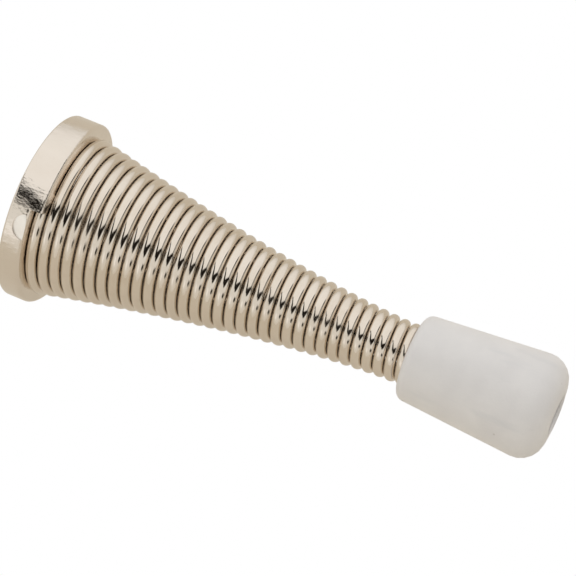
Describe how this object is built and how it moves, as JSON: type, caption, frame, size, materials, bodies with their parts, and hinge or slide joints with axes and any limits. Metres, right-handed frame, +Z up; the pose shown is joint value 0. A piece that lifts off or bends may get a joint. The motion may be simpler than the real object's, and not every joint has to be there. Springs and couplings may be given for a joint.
{
  "type": "spring door stop",
  "caption": "Baseboard spring door stop: a round screw-on base, a flared close-wound spring that flexes, and a white bumper cap that pulls off.",
  "frame": {"origin": "on the screw hole's axis, in the plane of the wall that the base's back face rests on", "axes": "+X out of the wall along the spring to the cap, +Z up, +Y to the left seen from the room"},
  "size_m": [0.0792, 0.0274, 0.0274],
  "materials": {
    "base_metal": "bright nickel plate on die-cast zinc",
    "spring_wire": "bright nickel plate on steel spring wire",
    "cap_vinyl": "matt white moulded vinyl"
  },
  "bodies": {
    "base": {"base": "base_metal", "spring_seat_turns": "spring_wire"},
    "spring_coil_01": {"spring_coil_01": "spring_wire"},
    "spring_coil_02": {"spring_coil_02": "spring_wire"},
    "spring_coil_03": {"spring_coil_03": "spring_wire"},
    "spring_coil_04": {"spring_coil_04": "spring_wire"},
    "spring_coil_05": {"spring_coil_05": "spring_wire"},
    "spring_coil_06": {"spring_coil_06": "spring_wire"},
    "spring_coil_07": {"spring_coil_07": "spring_wire"},
    "spring_coil_08": {"spring_coil_08": "spring_wire"},
    "spring_coil_09": {"spring_coil_09": "spring_wire"},
    "spring_coil_10": {"spring_coil_10": "spring_wire"},
    "spring_coil_11": {"spring_coil_11": "spring_wire"},
    "spring_coil_12": {"spring_coil_12": "spring_wire"},
    "spring_coil_13": {"spring_coil_13": "spring_wire"},
    "spring_coil_14": {"spring_coil_14": "spring_wire"},
    "spring_coil_15": {"spring_coil_15": "spring_wire"},
    "spring_coil_16": {"spring_coil_16": "spring_wire"},
    "spring_coil_17": {"spring_coil_17": "spring_wire"},
    "spring_coil_18": {"spring_coil_18": "spring_wire"},
    "spring_coil_19": {"spring_coil_19": "spring_wire"},
    "spring_coil_20": {"spring_coil_20": "spring_wire"},
    "spring_coil_21": {"spring_coil_21": "spring_wire"},
    "spring_coil_22": {"spring_coil_22": "spring_wire"},
    "spring_coil_23": {"spring_coil_23": "spring_wire"},
    "spring_coil_24": {"spring_coil_24": "spring_wire"},
    "spring_coil_25": {"spring_coil_25": "spring_wire"},
    "spring_coil_26": {"spring_coil_26": "spring_wire"},
    "spring_coil_27": {"spring_coil_27": "spring_wire"},
    "spring_coil_28": {"spring_coil_28": "spring_wire"},
    "spring_coil_29": {"spring_coil_29": "spring_wire"},
    "spring_coil_30": {"spring_coil_30": "spring_wire"},
    "spring_coil_31": {"spring_coil_31": "spring_wire"},
    "spring_coil_32": {"spring_coil_32": "spring_wire"},
    "spring_coil_33": {"spring_coil_33": "spring_wire"},
    "spring_coil_34": {"spring_coil_34": "spring_wire"},
    "spring_coil_35": {"spring_coil_35": "spring_wire"},
    "spring_coil_36": {"spring_coil_36": "spring_wire"},
    "spring_coil_37": {"spring_coil_37": "spring_wire"},
    "spring_coil_38": {"spring_coil_38": "spring_wire"},
    "spring_coil_39": {"spring_coil_39": "spring_wire"},
    "spring_coil_40": {"spring_coil_40": "spring_wire"},
    "spring_coil_41": {"spring_coil_41": "spring_wire"},
    "spring_coil_42": {"spring_coil_42": "spring_wire"},
    "spring_coil_43": {"spring_coil_43": "spring_wire"},
    "spring_coil_44": {"spring_coil_44": "spring_wire"},
    "spring_tip": {"spring_tip_turns": "spring_wire"},
    "bumper_cap": {"bumper_cap": "cap_vinyl"}
  },
  "joints": [
    {"name": "bend_down", "type": "hinge", "parent": "base", "child": "spring_coil_01", "pos_m": [0.00627, 0, -0.01087], "axis": [0.0244, 0.9997, 0.0054], "range_deg": [0, 3], "stiffness_Nm_per_rad": 0.3969, "springref_deg": -1.73},
    {"name": "bend_up_right", "type": "hinge", "parent": "spring_coil_01", "child": "spring_coil_02", "pos_m": [0.00738, -0.0092, 0.00531], "axis": [0.025, -0.4952, -0.8684], "range_deg": [0, 3], "stiffness_Nm_per_rad": 0.406, "springref_deg": -1.69},
    {"name": "bend_up_left", "type": "hinge", "parent": "spring_coil_02", "child": "spring_coil_03", "pos_m": [0.00849, 0.009, 0.00519], "axis": [0.0255, -0.5046, 0.863], "range_deg": [0, 3], "stiffness_Nm_per_rad": 0.4153, "springref_deg": -1.66},
    {"name": "bend_down_02", "type": "hinge", "parent": "spring_coil_03", "child": "spring_coil_04", "pos_m": [0.0096, 0, -0.01015], "axis": [0.0261, 0.9996, 0.0055], "range_deg": [0, 3], "stiffness_Nm_per_rad": 0.425, "springref_deg": -1.62},
    {"name": "bend_up_right_02", "type": "hinge", "parent": "spring_coil_04", "child": "spring_coil_05", "pos_m": [0.01072, -0.00859, 0.00496], "axis": [0.0267, -0.495, -0.8685], "range_deg": [0, 3], "stiffness_Nm_per_rad": 0.435, "springref_deg": -1.58},
    {"name": "bend_up_left_02", "type": "hinge", "parent": "spring_coil_05", "child": "spring_coil_06", "pos_m": [0.01183, 0.00839, 0.00484], "axis": [0.0274, -0.5047, 0.8629], "range_deg": [0, 3], "stiffness_Nm_per_rad": 0.4453, "springref_deg": -1.54},
    {"name": "bend_down_03", "type": "hinge", "parent": "spring_coil_06", "child": "spring_coil_07", "pos_m": [0.01294, 0, -0.00946], "axis": [0.028, 0.9996, 0.0057], "range_deg": [0, 3], "stiffness_Nm_per_rad": 0.4561, "springref_deg": -1.51},
    {"name": "bend_up_right_03", "type": "hinge", "parent": "spring_coil_07", "child": "spring_coil_08", "pos_m": [0.01405, -0.008, 0.00462], "axis": [0.0287, -0.4948, -0.8685], "range_deg": [0, 3], "stiffness_Nm_per_rad": 0.4672, "springref_deg": -1.47},
    {"name": "bend_up_left_03", "type": "hinge", "parent": "spring_coil_08", "child": "spring_coil_09", "pos_m": [0.01516, 0.00781, 0.00451], "axis": [0.0294, -0.5048, 0.8627], "range_deg": [0, 3], "stiffness_Nm_per_rad": 0.4786, "springref_deg": -1.44},
    {"name": "bend_down_04", "type": "hinge", "parent": "spring_coil_09", "child": "spring_coil_10", "pos_m": [0.01627, 0, -0.0088], "axis": [0.0301, 0.9995, 0.0059], "range_deg": [0, 3], "stiffness_Nm_per_rad": 0.4905, "springref_deg": -1.4},
    {"name": "bend_up_right_04", "type": "hinge", "parent": "spring_coil_10", "child": "spring_coil_11", "pos_m": [0.01738, -0.00743, 0.00429], "axis": [0.0309, -0.4946, -0.8686], "range_deg": [0, 3], "stiffness_Nm_per_rad": 0.5028, "springref_deg": -1.37},
    {"name": "bend_up_left_04", "type": "hinge", "parent": "spring_coil_11", "child": "spring_coil_12", "pos_m": [0.01849, 0.00725, 0.00418], "axis": [0.0317, -0.5049, 0.8626], "range_deg": [0, 3], "stiffness_Nm_per_rad": 0.5156, "springref_deg": -1.33},
    {"name": "bend_down_05", "type": "hinge", "parent": "spring_coil_12", "child": "spring_coil_13", "pos_m": [0.01961, 0, -0.00816], "axis": [0.0325, 0.9995, 0.0061], "range_deg": [0, 3], "stiffness_Nm_per_rad": 0.5288, "springref_deg": -1.3},
    {"name": "bend_up_right_05", "type": "hinge", "parent": "spring_coil_13", "child": "spring_coil_14", "pos_m": [0.02072, -0.00689, 0.00398], "axis": [0.0333, -0.4944, -0.8686], "range_deg": [0, 3], "stiffness_Nm_per_rad": 0.5425, "springref_deg": -1.27},
    {"name": "bend_up_left_05", "type": "hinge", "parent": "spring_coil_14", "child": "spring_coil_15", "pos_m": [0.02183, 0.00671, 0.00388], "axis": [0.0342, -0.505, 0.8624], "range_deg": [0, 3], "stiffness_Nm_per_rad": 0.5566, "springref_deg": -1.24},
    {"name": "bend_down_06", "type": "hinge", "parent": "spring_coil_15", "child": "spring_coil_16", "pos_m": [0.02294, 0, -0.00755], "axis": [0.0351, 0.9994, 0.0062], "range_deg": [0, 3], "stiffness_Nm_per_rad": 0.5713, "springref_deg": -1.2},
    {"name": "bend_up_right_06", "type": "hinge", "parent": "spring_coil_16", "child": "spring_coil_17", "pos_m": [0.02405, -0.00637, 0.00368], "axis": [0.036, -0.4942, -0.8686], "range_deg": [0, 3], "stiffness_Nm_per_rad": 0.5865, "springref_deg": -1.17},
    {"name": "bend_up_left_06", "type": "hinge", "parent": "spring_coil_17", "child": "spring_coil_18", "pos_m": [0.02516, 0.0062, 0.00358], "axis": [0.037, -0.5051, 0.8622], "range_deg": [0, 3], "stiffness_Nm_per_rad": 0.6022, "springref_deg": -1.14},
    {"name": "bend_down_07", "type": "hinge", "parent": "spring_coil_18", "child": "spring_coil_19", "pos_m": [0.02627, 0, -0.00698], "axis": [0.038, 0.9993, 0.0064], "range_deg": [0, 3], "stiffness_Nm_per_rad": 0.6185, "springref_deg": -1.11},
    {"name": "bend_up_right_07", "type": "hinge", "parent": "spring_coil_19", "child": "spring_coil_20", "pos_m": [0.02739, -0.00588, 0.0034], "axis": [0.039, -0.494, -0.8686], "range_deg": [0, 3], "stiffness_Nm_per_rad": 0.6353, "springref_deg": -1.08},
    {"name": "bend_up_left_07", "type": "hinge", "parent": "spring_coil_20", "child": "spring_coil_21", "pos_m": [0.0285, 0.00572, 0.0033], "axis": [0.0401, -0.5052, 0.8621], "range_deg": [0, 3], "stiffness_Nm_per_rad": 0.6528, "springref_deg": -1.05},
    {"name": "bend_down_08", "type": "hinge", "parent": "spring_coil_21", "child": "spring_coil_22", "pos_m": [0.02961, 0, -0.00643], "axis": [0.0412, 0.9991, 0.0065], "range_deg": [0, 3], "stiffness_Nm_per_rad": 0.6708, "springref_deg": -1.03},
    {"name": "bend_up_right_08", "type": "hinge", "parent": "spring_coil_22", "child": "spring_coil_23", "pos_m": [0.03072, -0.00542, 0.00313], "axis": [0.0424, -0.4939, -0.8685], "range_deg": [0, 3], "stiffness_Nm_per_rad": 0.6895, "springref_deg": -1},
    {"name": "bend_up_left_08", "type": "hinge", "parent": "spring_coil_23", "child": "spring_coil_24", "pos_m": [0.03183, 0.00527, 0.00304], "axis": [0.0435, -0.5052, 0.8619], "range_deg": [0, 3], "stiffness_Nm_per_rad": 0.7087, "springref_deg": -0.97},
    {"name": "bend_down_09", "type": "hinge", "parent": "spring_coil_24", "child": "spring_coil_25", "pos_m": [0.03294, 0, -0.00592], "axis": [0.0448, 0.999, 0.0066], "range_deg": [0, 3], "stiffness_Nm_per_rad": 0.7286, "springref_deg": -0.94},
    {"name": "bend_up_right_09", "type": "hinge", "parent": "spring_coil_25", "child": "spring_coil_26", "pos_m": [0.03405, -0.00499, 0.00288], "axis": [0.046, -0.4937, -0.8684], "range_deg": [0, 3], "stiffness_Nm_per_rad": 0.7491, "springref_deg": -0.92},
    {"name": "bend_up_left_09", "type": "hinge", "parent": "spring_coil_26", "child": "spring_coil_27", "pos_m": [0.03516, 0.00485, 0.0028], "axis": [0.0473, -0.5052, 0.8617], "range_deg": [0, 3], "stiffness_Nm_per_rad": 0.7702, "springref_deg": -0.89},
    {"name": "bend_down_10", "type": "hinge", "parent": "spring_coil_27", "child": "spring_coil_28", "pos_m": [0.03628, 0, -0.00545], "axis": [0.0486, 0.9988, 0.0066], "range_deg": [0, 3], "stiffness_Nm_per_rad": 0.792, "springref_deg": -0.87},
    {"name": "bend_up_right_10", "type": "hinge", "parent": "spring_coil_28", "child": "spring_coil_29", "pos_m": [0.03739, -0.00459, 0.00265], "axis": [0.05, -0.4936, -0.8682], "range_deg": [0, 3], "stiffness_Nm_per_rad": 0.8143, "springref_deg": -0.84},
    {"name": "bend_up_left_10", "type": "hinge", "parent": "spring_coil_29", "child": "spring_coil_30", "pos_m": [0.0385, 0.00446, 0.00258], "axis": [0.0514, -0.505, 0.8616], "range_deg": [0, 3], "stiffness_Nm_per_rad": 0.8372, "springref_deg": -0.82},
    {"name": "bend_down_11", "type": "hinge", "parent": "spring_coil_30", "child": "spring_coil_31", "pos_m": [0.03961, 0, -0.00501], "axis": [0.0528, 0.9986, 0.0066], "range_deg": [0, 3], "stiffness_Nm_per_rad": 0.8607, "springref_deg": -0.8},
    {"name": "bend_up_right_11", "type": "hinge", "parent": "spring_coil_31", "child": "spring_coil_32", "pos_m": [0.04072, -0.00422, 0.00244], "axis": [0.0543, -0.4936, -0.868], "range_deg": [0, 3], "stiffness_Nm_per_rad": 0.8846, "springref_deg": -0.78},
    {"name": "bend_up_left_11", "type": "hinge", "parent": "spring_coil_32", "child": "spring_coil_33", "pos_m": [0.04183, 0.00411, 0.00237], "axis": [0.0558, -0.5048, 0.8614], "range_deg": [0, 3], "stiffness_Nm_per_rad": 0.909, "springref_deg": -0.76},
    {"name": "bend_down_12", "type": "hinge", "parent": "spring_coil_33", "child": "spring_coil_34", "pos_m": [0.04294, 0, -0.00462], "axis": [0.0573, 0.9983, 0.0064], "range_deg": [0, 3], "stiffness_Nm_per_rad": 0.9338, "springref_deg": -0.74},
    {"name": "bend_up_right_12", "type": "hinge", "parent": "spring_coil_34", "child": "spring_coil_35", "pos_m": [0.04406, -0.0039, 0.00225], "axis": [0.0589, -0.4937, -0.8676], "range_deg": [0, 3], "stiffness_Nm_per_rad": 0.9589, "springref_deg": -0.72},
    {"name": "bend_up_left_12", "type": "hinge", "parent": "spring_coil_35", "child": "spring_coil_36", "pos_m": [0.04517, 0.0038, 0.00219], "axis": [0.0604, -0.5044, 0.8614], "range_deg": [0, 3], "stiffness_Nm_per_rad": 0.9842, "springref_deg": -0.7},
    {"name": "bend_down_13", "type": "hinge", "parent": "spring_coil_36", "child": "spring_coil_37", "pos_m": [0.04628, 0, -0.00427], "axis": [0.062, 0.9981, 0.006], "range_deg": [0, 3], "stiffness_Nm_per_rad": 1.0094, "springref_deg": -0.68},
    {"name": "bend_up_right_13", "type": "hinge", "parent": "spring_coil_37", "child": "spring_coil_38", "pos_m": [0.04739, -0.00361, 0.00209], "axis": [0.0635, -0.494, -0.8671], "range_deg": [0, 3], "stiffness_Nm_per_rad": 1.0346, "springref_deg": -0.66},
    {"name": "bend_up_left_13", "type": "hinge", "parent": "spring_coil_38", "child": "spring_coil_39", "pos_m": [0.0485, 0.00353, 0.00204], "axis": [0.065, -0.5037, 0.8614], "range_deg": [0, 3], "stiffness_Nm_per_rad": 1.0594, "springref_deg": -0.65},
    {"name": "bend_down_14", "type": "hinge", "parent": "spring_coil_39", "child": "spring_coil_40", "pos_m": [0.04961, 0, -0.00398], "axis": [0.0665, 0.9978, 0.0053], "range_deg": [0, 3], "stiffness_Nm_per_rad": 1.0837, "springref_deg": -0.63},
    {"name": "bend_up_right_14", "type": "hinge", "parent": "spring_coil_40", "child": "spring_coil_41", "pos_m": [0.05072, -0.00338, 0.00195], "axis": [0.0679, -0.4946, -0.8665], "range_deg": [0, 3], "stiffness_Nm_per_rad": 1.1071, "springref_deg": -0.62},
    {"name": "bend_up_left_14", "type": "hinge", "parent": "spring_coil_41", "child": "spring_coil_42", "pos_m": [0.05183, 0.00331, 0.00191], "axis": [0.0693, -0.5027, 0.8617], "range_deg": [0, 3], "stiffness_Nm_per_rad": 1.1293, "springref_deg": -0.61},
    {"name": "bend_down_15", "type": "hinge", "parent": "spring_coil_42", "child": "spring_coil_43", "pos_m": [0.05295, 0, -0.00375], "axis": [0.0705, 0.9975, 0.0041], "range_deg": [0, 3], "stiffness_Nm_per_rad": 1.1499, "springref_deg": -0.6},
    {"name": "bend_up_right_15", "type": "hinge", "parent": "spring_coil_43", "child": "spring_coil_44", "pos_m": [0.05406, -0.0032, 0.00185], "axis": [0.0717, -0.4957, -0.8655], "range_deg": [0, 3], "stiffness_Nm_per_rad": 1.1683, "springref_deg": -0.59},
    {"name": "bend_up_left_15", "type": "hinge", "parent": "spring_coil_44", "child": "spring_tip", "pos_m": [0.05517, 0.00316, 0.00182], "axis": [0.0726, -0.5011, 0.8624], "range_deg": [0, 3], "stiffness_Nm_per_rad": 1.1837, "springref_deg": -0.58},
    {"name": "cap_pull_off", "type": "slide", "parent": "spring_tip", "child": "bumper_cap", "axis": [1, 0, 0], "range_m": [0, 0.0125]}
  ],
  "couplings": [
    {"joint": "bend_down_02", "follows": "bend_down", "ratio": 1},
    {"joint": "bend_up_right_02", "follows": "bend_up_right", "ratio": 1},
    {"joint": "bend_up_left_02", "follows": "bend_up_left", "ratio": 1},
    {"joint": "bend_down_03", "follows": "bend_down", "ratio": 1},
    {"joint": "bend_up_right_03", "follows": "bend_up_right", "ratio": 1},
    {"joint": "bend_up_left_03", "follows": "bend_up_left", "ratio": 1},
    {"joint": "bend_down_04", "follows": "bend_down", "ratio": 1},
    {"joint": "bend_up_right_04", "follows": "bend_up_right", "ratio": 1},
    {"joint": "bend_up_left_04", "follows": "bend_up_left", "ratio": 1},
    {"joint": "bend_down_05", "follows": "bend_down", "ratio": 1},
    {"joint": "bend_up_right_05", "follows": "bend_up_right", "ratio": 1},
    {"joint": "bend_up_left_05", "follows": "bend_up_left", "ratio": 1},
    {"joint": "bend_down_06", "follows": "bend_down", "ratio": 1},
    {"joint": "bend_up_right_06", "follows": "bend_up_right", "ratio": 1},
    {"joint": "bend_up_left_06", "follows": "bend_up_left", "ratio": 1},
    {"joint": "bend_down_07", "follows": "bend_down", "ratio": 1},
    {"joint": "bend_up_right_07", "follows": "bend_up_right", "ratio": 1},
    {"joint": "bend_up_left_07", "follows": "bend_up_left", "ratio": 1},
    {"joint": "bend_down_08", "follows": "bend_down", "ratio": 1},
    {"joint": "bend_up_right_08", "follows": "bend_up_right", "ratio": 1},
    {"joint": "bend_up_left_08", "follows": "bend_up_left", "ratio": 1},
    {"joint": "bend_down_09", "follows": "bend_down", "ratio": 1},
    {"joint": "bend_up_right_09", "follows": "bend_up_right", "ratio": 1},
    {"joint": "bend_up_left_09", "follows": "bend_up_left", "ratio": 1},
    {"joint": "bend_down_10", "follows": "bend_down", "ratio": 1},
    {"joint": "bend_up_right_10", "follows": "bend_up_right", "ratio": 1},
    {"joint": "bend_up_left_10", "follows": "bend_up_left", "ratio": 1},
    {"joint": "bend_down_11", "follows": "bend_down", "ratio": 1},
    {"joint": "bend_up_right_11", "follows": "bend_up_right", "ratio": 1},
    {"joint": "bend_up_left_11", "follows": "bend_up_left", "ratio": 1},
    {"joint": "bend_down_12", "follows": "bend_down", "ratio": 1},
    {"joint": "bend_up_right_12", "follows": "bend_up_right", "ratio": 1},
    {"joint": "bend_up_left_12", "follows": "bend_up_left", "ratio": 1},
    {"joint": "bend_down_13", "follows": "bend_down", "ratio": 1},
    {"joint": "bend_up_right_13", "follows": "bend_up_right", "ratio": 1},
    {"joint": "bend_up_left_13", "follows": "bend_up_left", "ratio": 1},
    {"joint": "bend_down_14", "follows": "bend_down", "ratio": 1},
    {"joint": "bend_up_right_14", "follows": "bend_up_right", "ratio": 1},
    {"joint": "bend_up_left_14", "follows": "bend_up_left", "ratio": 1},
    {"joint": "bend_down_15", "follows": "bend_down", "ratio": 1},
    {"joint": "bend_up_right_15", "follows": "bend_up_right", "ratio": 1},
    {"joint": "bend_up_left_15", "follows": "bend_up_left", "ratio": 1}
  ]
}
